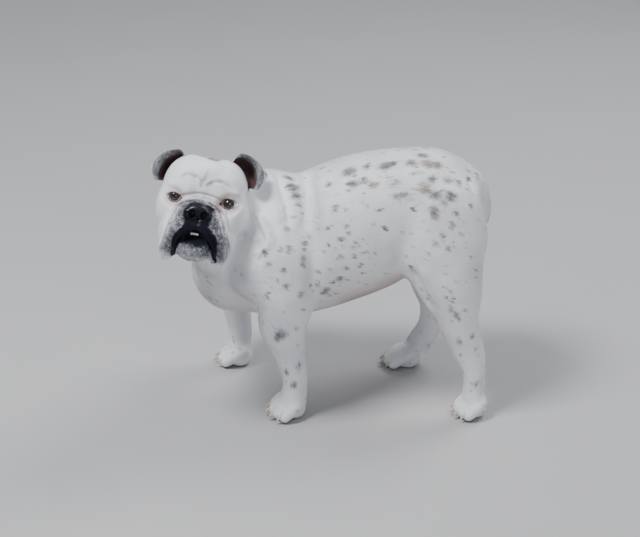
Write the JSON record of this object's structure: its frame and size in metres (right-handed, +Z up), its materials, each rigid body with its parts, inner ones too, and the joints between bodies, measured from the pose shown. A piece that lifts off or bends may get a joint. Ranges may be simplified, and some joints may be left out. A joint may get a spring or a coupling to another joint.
{
  "type": "english bulldog, standing, still life-size model",
  "caption": "Standing english bulldog as a still, life-size model: stocky white body, broad wrinkled head turned to its left, folded ears, stub tail.",
  "frame": {"origin": "under the middle of the model's box, on the ground that the soles stand on", "axes": "-Y is the way the body faces, +X is the dog's left, +Z is up"},
  "size_m": [0.337, 0.5558, 0.4432],
  "materials": {
    "coat": "short flat white fur with grey ticking",
    "ear_skin": "thin grey fur outside, bare maroon-grey skin inside",
    "nose_leather": "moist pebbled black skin",
    "jaw_skin": "short dark fur with white speckle, black lips, ivory lower incisors",
    "eye": "wet dark brown"
  },
  "bodies": {
    "root": {"torso": "coat", "neck": "coat", "head": "coat", "lower_jaw": "jaw_skin", "nose": "nose_leather", "eye_left": "eye", "eye_right": "eye", "ear_left": "ear_skin", "ear_right": "ear_skin", "foreleg_left": "coat", "foreleg_right": "coat", "forepaw_left": "coat", "forepaw_right": "coat", "thigh_left": "coat", "thigh_right": "coat", "hindleg_left": "coat", "hindleg_right": "coat", "hindpaw_left": "coat", "hindpaw_right": "coat", "tail": "coat"}
  },
  "joints": []
}
